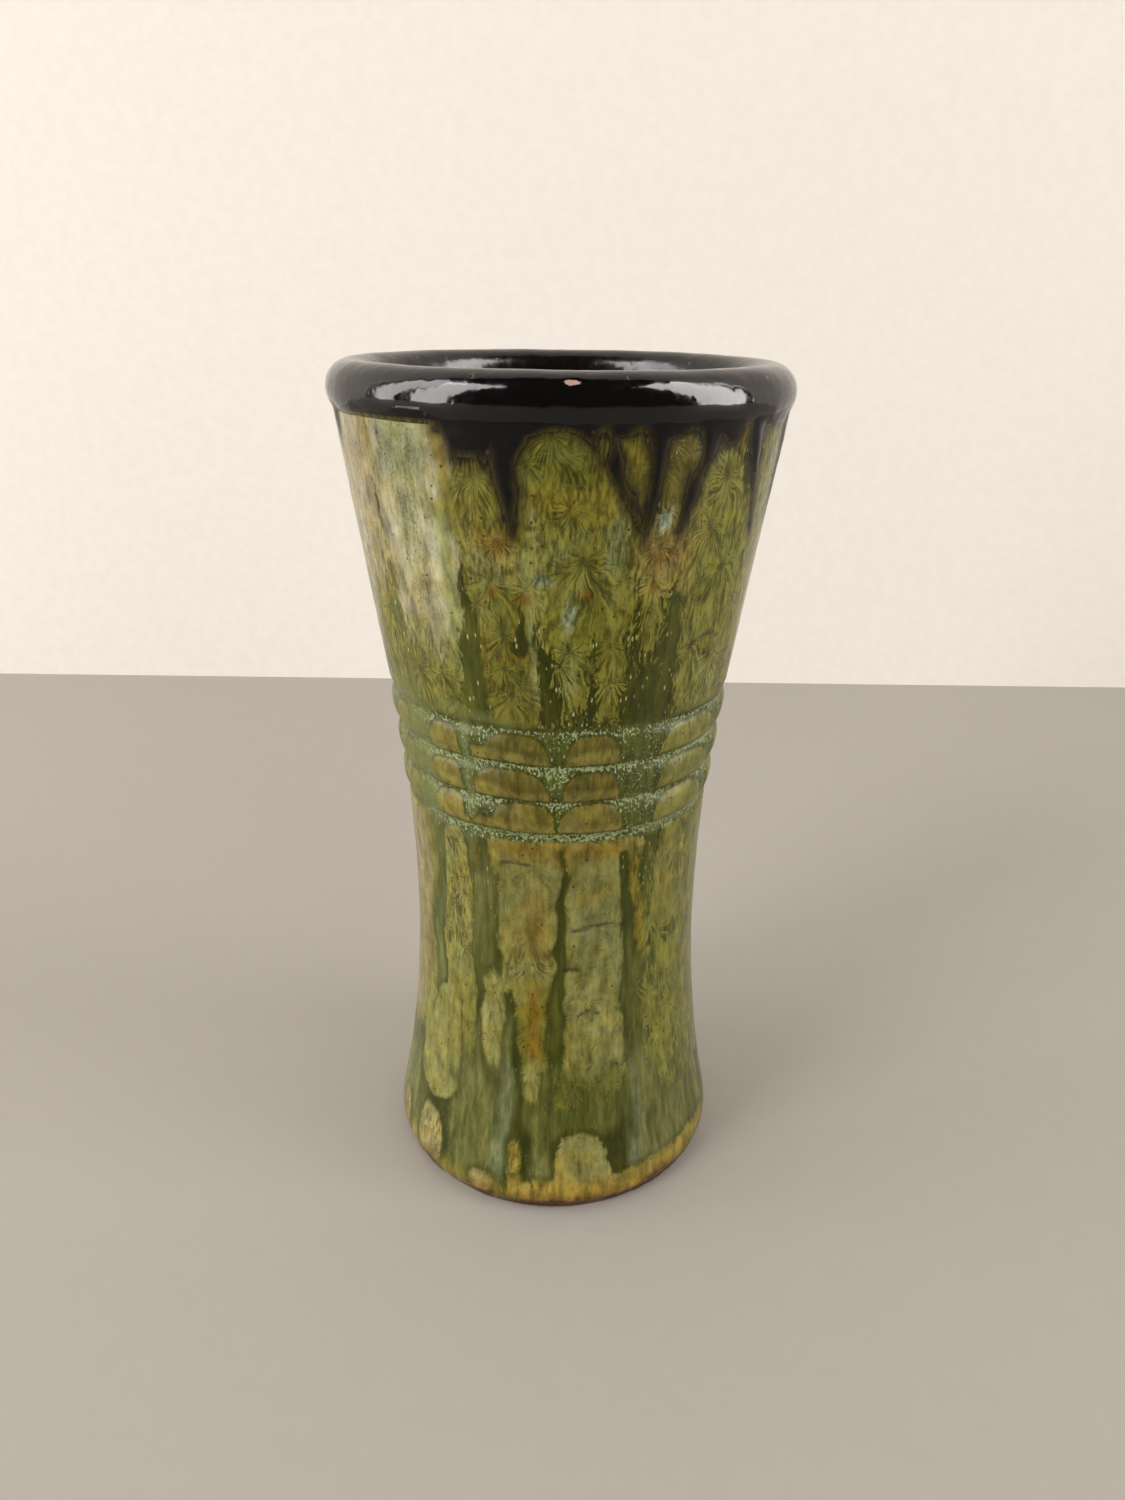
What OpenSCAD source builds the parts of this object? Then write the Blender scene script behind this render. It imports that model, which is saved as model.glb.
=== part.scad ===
// Waisted stoneware vase with a rolled rim, waist ribs and run glazes.
// Millimetres, +Z up, origin at the centre of the foot on the table.
// The vase is a surface of revolution. Every layer shares the same profile
// functions, so the glaze coats meet the clay and each other face to face.

/* [Overall] */
// Height from the table to the top of the rolled rim
height = 224; // [216:1:232]
// Outside diameter over the rolled rim
rim_d = 112.5; // [111:0.5:114]

/* [Wall profile] */
// Height of the narrowest point
waist_z = 80; // [76:1:84]
// Outside diameter at the narrowest point
waist_d = 79.8; // [78:0.2:82]
// Radius of the curve that flares from the waist down to the foot
foot_arc_r = 345; // [320:5:400]
// Outside diameter of the wall just under the rim
mouth_d = 108.4; // [107:0.2:109]
// Angle of the straight upper wall from the vertical, degrees
flare_angle = 8.45; // [8:0.05:9]

/* [Ribs] */
// Number of thrown ribs around the waist
rib_count = 3; // [1:1:3]
// Distance from one groove to the next
rib_pitch = 9.8; // [8:0.2:10]
// Height of the lowest groove
low_groove_z = 115; // [112:1:118]
// Depth of each groove
groove_depth = 0.6; // [0.2:0.1:1]
// How far each rib stands out between its grooves
rib_proud = 0.5; // [0.2:0.1:1]

/* [Foot] */
// Height over which the foot tucks under
foot_tuck_z = 8; // [6:1:10]
// How far the foot tucks in at the table
foot_tuck = 3; // [2:0.5:4]
// Height of the bare clay below the outer glaze
bare_clay_z = 2.4; // [1.5:0.1:3.5]
// Diameter of the shallow recess under the base
recess_d = 74; // [60:1:78]
// Depth of the recess under the base
recess_z = 1.5; // [1:0.5:2.5]

/* [Wall and floor] */
// Wall thickness under the rim, glaze included
wall_top = 5.5; // [5:0.5:6.5]
// Wall thickness at the foot, glaze included
wall_foot = 8; // [7:0.5:9]
// Height of the inside floor
floor_z = 9; // [7:0.5:12]
// Radius where the inside wall turns into the floor
floor_fillet_r = 12; // [8:1:14]

/* [Rolled rim] */
// Thickness of the rolled rim, glaze included
roll_d = 13; // [12.5:0.5:14]

/* [Glazes] */
// Thickness of the green outer glaze
outer_coat = 0.65; // [0.4:0.05:0.9]
// Thickness of the black glaze on the rolled rim
rim_coat = 0.65; // [0.4:0.05:0.9]
// Thickness of the black glaze inside
liner_coat = 0.5; // [0.3:0.05:0.8]
// Thickness of the black runs that lie over the outer glaze
run_coat = 0.35; // [0.2:0.05:0.5]
// Lower edge of the black collar, below the top of the vase
collar_drop = 14; // [13:0.5:18]

/* [Hidden] */
$fn = 96;

CLAY_COLOUR = "#7a4a32";
GREEN_COLOUR = "#6f7a3e";
BLACK_COLOUR = "#141417";
LINER_COLOUR = "#1a1a1c";

roll_r = roll_d / 2;
roll_at_r = rim_d / 2 - roll_r;
roll_at_z = height - roll_r;
neck_z = height - 14;
waist_r = waist_d / 2;
mouth_r = mouth_d / 2;

// The upper curve starts upright at the waist and runs tangent into the
// straight wall, which passes through mouth_r at neck_z.
upper_rise = (neck_z - waist_z) * tan(flare_angle) - (mouth_r - waist_r);
upper_arc_r = upper_rise / (1 / cos(flare_angle) - 1);
tangent_z = waist_z + upper_arc_r * sin(flare_angle);

rib_low_z = low_groove_z - 4;
rib_high_z = low_groove_z + rib_count * rib_pitch + 4;
groove_width = 1.5;
coat_lip_z = 2;
thin_lip = 0.15;
fillet_top_z = floor_z + floor_fillet_r;
ring_slope = 1.5;
overhang = 6;

// Runs of black glaze below the collar: [azimuth from the front, width,
// drop below the top of the vase]. Positive azimuths are to the right.
RUNS = [
    [-31, 9, 17], [-20, 13, 19], [-9, 6, 33], [12, 7, 20], [18.5, 5, 34],
    [26, 4, 30], [31.5, 5, 31], [50, 10, 22], [72, 5, 36], [88, 7, 27],
    [109, 5, 41], [127, 8, 24], [150, 6, 35], [171, 9, 27], [193, 5, 44],
    [211, 7, 25], [233, 5, 38], [254, 8, 24], [272, 5, 31]
];

function steps(from, to, count) = [for (i = [0 : count]) from + (to - from) * i / count];

function inner_steps(from, to, count) = [for (i = [1 : count]) from + (to - from) * i / count];

// Heights at which the profile is sampled, closer together where it is busy
LEVELS = concat(
    steps(0, bare_clay_z, 3),
    inner_steps(bare_clay_z, bare_clay_z + coat_lip_z, 4),
    inner_steps(bare_clay_z + coat_lip_z, foot_tuck_z + 1, 3),
    inner_steps(foot_tuck_z + 1, rib_low_z, 20),
    inner_steps(rib_low_z, rib_high_z, 44),
    inner_steps(rib_high_z, roll_at_z, 14)
);

function foot_curve(z) = waist_r + foot_arc_r - sqrt(pow(foot_arc_r, 2) - pow(waist_z - z, 2));

function mouth_curve(z) =
    let (on_arc = min(z, tangent_z) - waist_z)
    waist_r + upper_arc_r - sqrt(pow(upper_arc_r, 2) - pow(on_arc, 2))
    + max(z - tangent_z, 0) * tan(flare_angle);

function thrown_r(z) = z < waist_z ? foot_curve(z) : mouth_curve(z);

function tuck(z) = foot_tuck * pow(max(1 - z / foot_tuck_z, 0), 2);

function groove(z, at) = groove_depth * exp(-pow((z - at) / groove_width, 2));

function grooves(z, i = 0) =
    i > rib_count ? 0 : groove(z, low_groove_z + i * rib_pitch) + grooves(z, i + 1);

function rib(z) =
    let (turn = (z - low_groove_z) / rib_pitch)
    turn < 0 || turn > rib_count ? 0 : rib_proud * pow(sin(180 * turn), 2);

// Finished outside of the wall, glaze included
function outer_r(z) = thrown_r(z) - tuck(z) + rib(z) - grooves(z);

// Outside of the clay under the glaze
function clay_r(z) = outer_r(z) - outer_coat;

// The outer glaze thins to a lip at its lower edge
function coat(z) =
    let (up = min(max((z - bare_clay_z) / coat_lip_z, 0), 1))
    thin_lip + (outer_coat - thin_lip) * sin(90 * up);

// Finished inside of the wall
function inner_r(z) = thrown_r(z) - wall_foot + (wall_foot - wall_top) * z / height;

// A point where the inside wall turns into the floor, `deep` inside the surface
function fillet_point(turn, deep) =
    let (r = floor_fillet_r + deep, z = fillet_top_z - r * sin(turn))
    [inner_r(z) - floor_fillet_r + r * cos(turn), z];

// The inside surface from the centre of the floor to the middle of the roll
function inside(deep) = concat(
    [[0, floor_z - deep]],
    [for (turn = [90 : -7.5 : 0]) fillet_point(turn, deep)],
    [for (z = LEVELS) if (z > fillet_top_z + 1) [inner_r(z) + deep, z]]
);

function reversed(points) = [for (i = [len(points) - 1 : -1 : 0]) points[i]];

module roll_section(r) {
    translate([roll_at_r, roll_at_z])
        circle(r = r);
}

module clay_wall_section() {
    base = [
        [0, recess_z],
        [recess_d / 2 - ring_slope, recess_z],
        [recess_d / 2, 0]
    ];
    outside = [for (z = LEVELS) [clay_r(z), z]];
    polygon(concat(base, outside, reversed(inside(liner_coat))));
}

module outer_coat_section() {
    glazed = [for (z = LEVELS) if (z >= bare_clay_z) z];
    outside = [for (z = glazed) [clay_r(z) + coat(z), z]];
    clay_side = [for (z = glazed) [clay_r(z), z]];
    polygon(concat(outside, reversed(clay_side)));
}

module run_section() {
    low_z = height - 50;
    wet = [for (z = LEVELS) if (z > low_z) z];
    outside = [for (z = wet) [outer_r(z) + run_coat, z]];
    glaze_side = [for (z = wet) [outer_r(z), z]];
    polygon(concat(outside, reversed(glaze_side)));
}

// One run of glaze: a strip with a round lower end, cut out from the axis
module run(azimuth, width, drop) {
    end_z = height - drop + width / 2;
    rotate([0, 0, azimuth - 90])
        rotate([90, 0, 90])
            linear_extrude(height = rim_d / 2 + overhang) {
                translate([-width / 2, end_z])
                    square([width, height - end_z]);
                translate([0, end_z])
                    circle(d = width);
            }
}

// Thrown clay: floor, wall, ribs, foot ring and the core of the rolled rim
module clay_body() {
    color(CLAY_COLOUR)
        rotate_extrude()
            union() {
                clay_wall_section();
                roll_section(roll_r - rim_coat);
            }
}

// Green run glaze from just above the foot up to the roll
module outer_glaze() {
    color(GREEN_COLOUR)
        rotate_extrude()
            difference() {
                outer_coat_section();
                roll_section(roll_r);
            }
}

// Black glaze over the rolled rim
module rim_glaze() {
    color(BLACK_COLOUR)
        rotate_extrude()
            difference() {
                roll_section(roll_r);
                roll_section(roll_r - rim_coat);
                clay_wall_section();
            }
}

// Black collar and runs that lie over the green glaze below the roll
module rim_runs() {
    color(BLACK_COLOUR)
        intersection() {
            rotate_extrude()
                difference() {
                    run_section();
                    roll_section(roll_r);
                }
            union() {
                translate([0, 0, height - collar_drop])
                    cylinder(r = rim_d / 2 + overhang, h = collar_drop);
                for (r = RUNS) {
                    run(r[0], r[1], r[2]);
                }
            }
        }
}

// Black glaze over the inside wall and floor
module liner_glaze() {
    color(LINER_COLOUR)
        rotate_extrude()
            difference() {
                polygon(concat(inside(liner_coat), reversed(inside(0))));
                roll_section(roll_r);
            }
}

clay_body();
outer_glaze();
rim_glaze();
rim_runs();
liner_glaze();
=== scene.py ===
"""Looks for the stoneware vase: detailed glaze coats around the packed clay body.

The camera stands in front of the vase, on the -Y side. Azimuths are in degrees
from the front, positive to the right. Lengths and heights are in millimetres
until a mesh is made from them.
"""

import math

import bpy
import numpy as np
from mathutils import Matrix, Vector


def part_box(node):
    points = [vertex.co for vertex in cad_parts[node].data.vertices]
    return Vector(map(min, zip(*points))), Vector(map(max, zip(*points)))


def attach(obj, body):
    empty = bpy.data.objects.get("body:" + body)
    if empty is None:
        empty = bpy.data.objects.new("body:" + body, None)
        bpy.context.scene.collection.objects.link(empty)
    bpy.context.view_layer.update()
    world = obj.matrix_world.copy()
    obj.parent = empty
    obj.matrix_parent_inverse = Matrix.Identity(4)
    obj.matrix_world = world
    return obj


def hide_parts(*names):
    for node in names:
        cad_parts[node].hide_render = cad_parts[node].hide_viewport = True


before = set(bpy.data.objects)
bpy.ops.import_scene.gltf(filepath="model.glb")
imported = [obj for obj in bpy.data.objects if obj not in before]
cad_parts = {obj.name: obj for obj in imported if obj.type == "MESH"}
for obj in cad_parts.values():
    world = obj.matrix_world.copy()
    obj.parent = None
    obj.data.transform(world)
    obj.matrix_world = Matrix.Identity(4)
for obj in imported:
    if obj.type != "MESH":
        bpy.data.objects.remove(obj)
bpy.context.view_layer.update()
MM = 0.001
DEG = math.pi / 180


# ---------------------------------------------------------------- sizes from the frame

def node_points(name):
    """The vertices of a CAD node."""
    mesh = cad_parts[name].data
    points = np.zeros(len(mesh.vertices) * 3)
    mesh.vertices.foreach_get("co", points)
    return points.reshape(-1, 3) / MM


def profile(name, keep):
    """Heights and radii of a turned CAD surface; keep is np.max for its outside, np.min for inside."""
    points = node_points(name)
    radius = np.hypot(points[:, 0], points[:, 1])
    level = np.round(points[:, 2] * 20) / 20
    heights = np.unique(level)
    radii = np.array([keep(radius[level == z]) for z in heights])
    return heights, radii


RIM_LOW, RIM_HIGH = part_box("rim_glaze")
HEIGHT = RIM_HIGH.z / MM
ROLL_R = (RIM_HIGH.z - RIM_LOW.z) / MM / 2
ROLL_Z = HEIGHT - ROLL_R
ROLL_AT = RIM_HIGH.x / MM - ROLL_R
OUT_Z, OUT_R = profile("outer_glaze", np.max)
CLAY_Z, CLAY_R = profile("outer_glaze", np.min)
LIP_Z = OUT_Z[0]
STRAIGHT_Z = 208.0
LEAN = (np.interp(STRAIGHT_Z, OUT_Z, OUT_R) - np.interp(STRAIGHT_Z - 20, OUT_Z, OUT_R)) / 20
CREASE_Z = 213.8
CREASE_BLEND = 0.6
TOP_Z = 216.5
LOWEST_RUN_Z = 165
NECK_R = 54
# How far the coat's hidden side lies inside the clay, and how thick the black runs are
HIDDEN_DEPTH = 1.3
RUN_THICK = 0.34


def roll_radius(z):
    """Radius of the rolled rim's outside at a height, and 0 below the roll."""
    inside = ROLL_R ** 2 - (z - ROLL_Z) ** 2
    return np.where(inside > 0, ROLL_AT + np.sqrt(np.maximum(inside, 0)), 0)


def wall_radius(z):
    """Radius of the glazed wall; the straight wall is carried on behind the roll."""
    return np.interp(np.minimum(z, STRAIGHT_Z), OUT_Z, OUT_R) + LEAN * np.maximum(z - STRAIGHT_Z, 0)


def under_roll(z, radius, sunk):
    """A coat's radius, curved in under the roll; sunk is how far it then lies inside the roll."""
    roll = roll_radius(z) - sunk
    near = np.maximum(CREASE_BLEND - np.abs(radius - roll), 0)
    return np.maximum(radius, roll) + near ** 2 / (4 * CREASE_BLEND)


# ---------------------------------------------------------------- noise

def smooth(low, high, value):
    """0 at low, 1 at high, smooth between."""
    t = np.clip((value - low) / (high - low), 0, 1)
    return t * t * (3 - 2 * t)


def value_noise(points, size, seed):
    """Smooth noise from -1 to 1; size is the width of a lump."""
    cells = 32
    table = np.random.default_rng(seed).random((cells, cells, cells)) * 2 - 1
    scaled = points / size + 512.0
    corner = np.floor(scaled).astype(int)
    part = scaled - corner
    part = part * part * (3 - 2 * part)
    total = 0.0
    for step in np.ndindex(2, 2, 2):
        pick = (corner + step) % cells
        weight = np.prod(np.where(step, part, 1 - part), axis=-1)
        total = total + weight * table[pick[..., 0], pick[..., 1], pick[..., 2]]
    return total


def fbm(points, size, seed, octaves=3):
    """Layered noise, about -1 to 1."""
    total = 0.0
    for octave in range(octaves):
        total = total + value_noise(points, size / 2 ** octave, seed + octave) / 2 ** octave
    return total / 1.5


# ---------------------------------------------------------------- the coat's grid

COLUMNS = 440


def rows():
    """Heights of the coat's rings, closest together over the lip, the ribs and the crease."""
    lip = np.linspace(LIP_Z - 1.2, LIP_Z + 2.2, 7)
    foot = np.linspace(lip[-1], 110.0, 82)[1:]
    ribs = np.linspace(110.0, 148.0, 62)[1:]
    upper = np.linspace(148.0, 209.0, 50)[1:]
    crease = np.linspace(209.0, TOP_Z, 12)[1:]
    return np.concatenate([lip, foot, ribs, upper, crease])


def around(azimuth, height, radius):
    """Points from azimuths, heights and radii."""
    angle = np.asarray(azimuth) * DEG
    return np.stack([radius * np.sin(angle), -radius * np.cos(angle), height + 0 * angle], -1)


ROWS = rows()
AZIMUTH = -180 + 360 * np.arange(COLUMNS) / COLUMNS
A, Z = np.meshgrid(AZIMUTH, ROWS)
R = wall_radius(Z)
P = around(A, Z, R)


class Wander:
    """The coat's azimuths and heights, disturbed so that painted edges run like glaze."""

    def __init__(self, amount, seed):
        side = fbm(P, 13, seed) * 1.5 + fbm(P, 4, seed + 3) * 0.6
        rise = fbm(P, 15, seed + 6) * 1.7 + fbm(P, 4, seed + 9) * 0.8
        self.azimuth = A + amount * side / (R * DEG)
        self.height = Z + amount * rise


LOOSE = Wander(1.0, 11)
TIGHT = Wander(0.3, 51)


def turn(to, start):
    """Angle from start to `to`, from -180 to 180."""
    return (to - start + 180) % 360 - 180


def blob(a0, a1, z0, z1, power=2.6, way=LOOSE):
    """How far inside a rounded patch each point is, negative outside."""
    wide = (a1 - a0) / 2
    tall = (z1 - z0) / 2
    x = turn(way.azimuth, (a0 + a1) / 2) / wide
    y = (way.height - (z0 + z1) / 2) / tall
    reach = (np.abs(x) ** power + np.abs(y) ** power) ** (1 / power)
    return (1 - reach) * np.minimum(wide * R * DEG, tall)


def dome(a0, a1, z0, z1, way=TIGHT):
    """How far inside a patch with a flat bottom and an arched top each point is."""
    half = (a1 - a0) / 2
    x = np.abs(turn(way.azimuth, (a0 + a1) / 2)) / half
    arch = z0 + (z1 - z0) * np.sqrt(np.maximum(1 - x ** 4, 0))
    side = (1 - x) * half * R * DEG
    return np.minimum(np.minimum(way.height - z0, (arch - way.height) * 0.8), side)


def run(a_top, z_top, w_top, a_end, z_end, w_end, way=LOOSE):
    """How far inside a tapering run each point is; w_top and w_end are its widths."""
    x = turn(way.azimuth, a_top) * DEG * R
    x_end = turn(a_end, a_top) * DEG * R
    y = way.height - z_top
    y_end = z_end - z_top
    along = np.clip((x * x_end + y * y_end) / (x_end ** 2 + y_end ** 2), 0, 1)
    away = np.hypot(x - along * x_end, y - along * y_end)
    return (w_top + (w_end - w_top) * along) / 2 - away


def level_line(a0, a1, z, bend=0.0):
    """Distance from a nearly level line that sags by bend in the middle."""
    half = (a1 - a0) / 2
    x = turn(TIGHT.azimuth, (a0 + a1) / 2) / half
    past = np.maximum(np.abs(x) - 1, 0) * half * R * DEG
    drop = TIGHT.height - z + bend * (1 - np.minimum(np.abs(x), 1) ** 2)
    return np.hypot(past, drop)


# ---------------------------------------------------------------- colours

def linear(red, green, blue):
    """An sRGB colour, 0 to 255, as linear numbers."""
    values = np.array([red, green, blue]) / 255
    return np.where(values <= 0.04045, values / 12.92, ((values + 0.055) / 1.055) ** 2.4)


# How much light the front of the vase gets, and how much its gloss adds to the colour it shows
LIGHT = np.array([1.12, 1.07, 1.02])
GLOSS = np.array([0.0165, 0.0145, 0.0130])


def glaze(red, green, blue):
    """A glaze's own linear colour from the sRGB colour that it shows in the studio."""
    return np.maximum((linear(red, green, blue) - GLOSS) / LIGHT, 0.003)


PINK = glaze(150, 138, 103)
TAN_EDGE = glaze(128, 117, 77)
CREAM = glaze(155, 146, 107)
IVORY = glaze(168, 160, 122)
SPECKLED = glaze(150, 143, 101)
BLUE_GREEN = glaze(126, 128, 92)
PALE_STREAK = glaze(156, 151, 98)
PALE_GREEN = glaze(138, 137, 84)
OLIVE = glaze(107, 102, 48)
FRESH = glaze(113, 110, 46)
PALE_OLIVE = glaze(123, 118, 60)
MUSTARD = glaze(122, 104, 38)
TAN = glaze(130, 118, 60)
GREY = glaze(126, 121, 70)
SLATE = glaze(110, 111, 72)
BLUE = glaze(108, 117, 96)
SKY = glaze(152, 162, 136)
RUST = glaze(120, 83, 34)
DARK_RUST = glaze(66, 38, 10)
BROWN = glaze(101, 92, 45)
DEEP = glaze(66, 66, 24)
DEEP_BLUE = glaze(88, 88, 42)
FLOW = glaze(108, 106, 60)
LEAF = glaze(109, 112, 66)
MOSS = glaze(82, 86, 43)
PALE_LOBE = glaze(137, 131, 76)
DASH = glaze(196, 192, 138)
BLACK = np.array([0.0036, 0.0034, 0.0032])
UMBER = glaze(56, 46, 18)
TURQUOISE = glaze(154, 162, 116)
SPECK = glaze(70, 78, 52)
FERN = glaze(98, 97, 50)
FOOT_CREAM = glaze(145, 131, 82)
FOOT_YELLOW = glaze(151, 129, 62)


class Paint:
    """A colour for each of the coat's points, washed on patch by patch."""

    def __init__(self, colour):
        self.colour = np.empty(A.shape + (3,))
        self.colour[:] = colour

    def wash(self, shape, colour, strength, soft):
        """Mixes colour in where shape is above 0, with an edge soft millimetres wide."""
        cover = strength * smooth(-soft / 2, soft / 2, shape)
        self.colour += (colour - self.colour) * cover[..., None]

    def patch(self, a0, a1, z0, z1, colour, strength, soft, power=2.6):
        """Washes colour over a rounded patch, a blob."""
        self.wash(blob(a0, a1, z0, z1, power), colour, strength, soft)

    def streak(self, a_top, z_top, w_top, a_end, z_end, w_end, colour, strength, soft):
        """Washes colour down a tapering run."""
        self.wash(run(a_top, z_top, w_top, a_end, z_end, w_end), colour, strength, soft)

    def layer(self):
        """The colours with an alpha of 1."""
        return np.concatenate([self.colour, np.ones(A.shape + (1,))], -1)


class Lobes:
    """Pale lobes of glaze between dark channels: depth inside a lobe, and how feathery its edge is."""

    def __init__(self):
        self.inside = np.full(A.shape, -7.0)
        self.feather = np.full(A.shape, 2.0)

    def add(self, shape, feather):
        """Joins a lobe on."""
        self.feather = np.where(shape > self.inside, feather, self.feather)
        self.inside = np.maximum(shape, self.inside)

    def cut(self, shape, feather):
        """Cuts a channel out."""
        self.feather = np.where(-shape < self.inside, feather, self.feather)
        self.inside = np.minimum(-shape, self.inside)


# ---------------------------------------------------------------- the painted map

# Lower edge of each waist groove's dark line, and the middle of each rib
LINE_Z = (145.6, 135.3, 125.4, 116.5)
RIB_Z = (139.6, 129.4, 119.4)

# Bricks of brown glaze on the front of each rib, top rib first: azimuths from and to
FRONT_BRICKS = [
    [(-45, -32), (-23.5, -2), (2.8, 20.5), (35, 63)],
    [(-47, -32), (-28, -2), (1.8, 21), (35, 64)],
    [(-46, -32.5), (-22, 0), (0.6, 23), (35, 63)],
]
# Gaps between the bricks round the sides and the back
SIDE_GAPS = [66, 90, 109, 131, 150, 171, 193, 214, 234, 254, 273, 290, 306]

# Black runs on the front: azimuth, height and width at the top, the same at the end
FRONT_RUNS = [
    (-19, 216, 18, -20, 208.6, 10),
    (-11, 216, 11, -11.8, 203, 6),
    (-11.9, 204, 5.6, -10.8, 191, 1.4),
    (8, 213, 8, 12.4, 205.4, 5.4),
    (12.2, 206, 5.4, 19.8, 190, 2.2),
    (21.6, 216, 6.5, 22.6, 203, 4.4),
    (22.6, 204, 4.4, 20.4, 191.5, 2.0),
    (35.2, 214, 8, 32.8, 201.5, 4.8),
    (32.8, 202, 4.8, 30, 192, 2.0),
    (41, 217, 9, 42, 212.4, 7),
    (50, 216, 9, 54, 203, 3.6),
    (53.8, 205, 3.4, 59, 188, 0.8),
]
# Black runs round the sides and the back: azimuth, width and drop below the top
SIDE_RUNS = [
    (72, 5, 36), (88, 7, 27), (109, 5, 41), (127, 8, 24), (150, 6, 35), (171, 9, 27),
    (193, 5, 44), (211, 7, 25), (233, 5, 38), (254, 8, 24), (272, 5, 31), (290, 6, 18),
]
# Islands of green inside the black: azimuth, height, half width and half height
ISLANDS = [
    (9.6, 209.8, 1.1, 2.4), (17.6, 206.4, 2.6, 5.9), (30.4, 207.8, 2.8, 4.2), (26.4, 201, 2.2, 7),
    (47, 209.6, 1.1, 3.4),
]
# The two broad lobes that reach up into the black: azimuth, height and width at the top and the end
LOBE_3 = (0.2, 203.6, 18.6, 5, 188, 27)
LOBE_4 = (41.6, 201, 13.4, 43.5, 186, 25)

# Star crystals on the front: azimuth, height, half width and half height of the fan
STARS = [
    (-0.5, 205, 8, 8), (3, 195, 5, 6), (7, 178, 11, 16), (-14, 189, 5, 4), (-16.5, 178, 7, 9),
    (-7.5, 177, 5, 8), (26, 194, 4, 4), (25, 186, 6, 6), (24.5, 176, 5, 12), (32, 170, 5, 12),
    (43, 199, 9, 9), (40, 188, 7, 9), (48, 178, 9, 11), (50, 157, 9, 9), (40, 160, 6, 9),
    (-20, 200, 7, 9), (-12, 152, 9, 8), (-15, 166, 6, 6), (15, 155, 7, 8), (4, 160, 6, 12),
    (-36, 153, 9, 9), (-36, 175, 8, 10), (12, 100, 8, 8), (15, 86, 8, 8), (18, 76, 6, 7),
    (12, 64, 9, 8), (-9, 103, 9, 8), (-10, 88, 8, 9), (-9, 74, 7, 7), (-47, 52, 7, 10),
    (-24, 64, 6, 9), (9, 52, 6, 8), (20, 52, 6, 8), (10, 18, 8, 8), (7, 37, 7, 7), (-8, 40, 5, 7),
]

# Smaller crystals scattered all round, of which those that find room are kept
SCATTERED_STARS = 900


def island_shape(azimuth, height, half_w, half_z, power=2.6):
    """How far inside an island each point is."""
    reach = half_w / (DEG * NECK_R)
    return blob(azimuth - reach, azimuth + reach, height - half_z, height + half_z, power)


def paint_upper_lobes(lobes):
    """The lobes above the ribs on the front, and the channels cut between them."""
    add, cut = lobes.add, lobes.cut
    add(blob(-94, -49, 179, 224, 3), 7)
    add(blob(-51.5, -24.4, 166, 226, 3.6), 1.5)
    add(blob(-48, -28.5, 142, 182, 3), 4)
    add(blob(-27, -13.4, 184, 206.5, 3), 2.5)
    add(blob(-24.5, -5.5, 162, 194, 3.2), 2)
    add(blob(-21.5, -6, 150, 174, 3), 2.5)
    add(blob(-21.5, 0.8, 140, 159, 3.5), 2.5)
    add(run(*LOBE_3, TIGHT), 1)
    add(blob(-8.5, 21, 164, 199, 2.8), 5)
    add(blob(0.5, 9.5, 149, 178), 6)
    add(blob(10.5, 19.5, 146, 172), 5)
    add(blob(18, 38, 179, 197, 3), 6)
    add(blob(21, 29, 164, 184), 6)
    add(run(*LOBE_4, TIGHT), 2)
    add(blob(35, 68, 140, 194, 3), 5)
    add(blob(52, 92, 140, 214, 3), 4)
    for island in ISLANDS:
        add(island_shape(*island, 2.2), 3)
    cut(run(-9.5, 177, 0.6, -10.6, 166, 4.4), 1)
    cut(run(-24.4, 184, 1.6, -24, 142, 8.4), 2)
    cut(run(-5, 172, 1.0, -1.5, 148, 6.5), 4)
    cut(run(20.4, 180, 1, 22, 150, 4.5), 5)
    cut(run(9.6, 170, 0.6, 10.4, 146, 3.4), 4)
    cut(run(31, 176, 1, 30, 150, 6), 5)
    cut(run(39, 163, 1.2, 49, 160, 1.6), 2)


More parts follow.
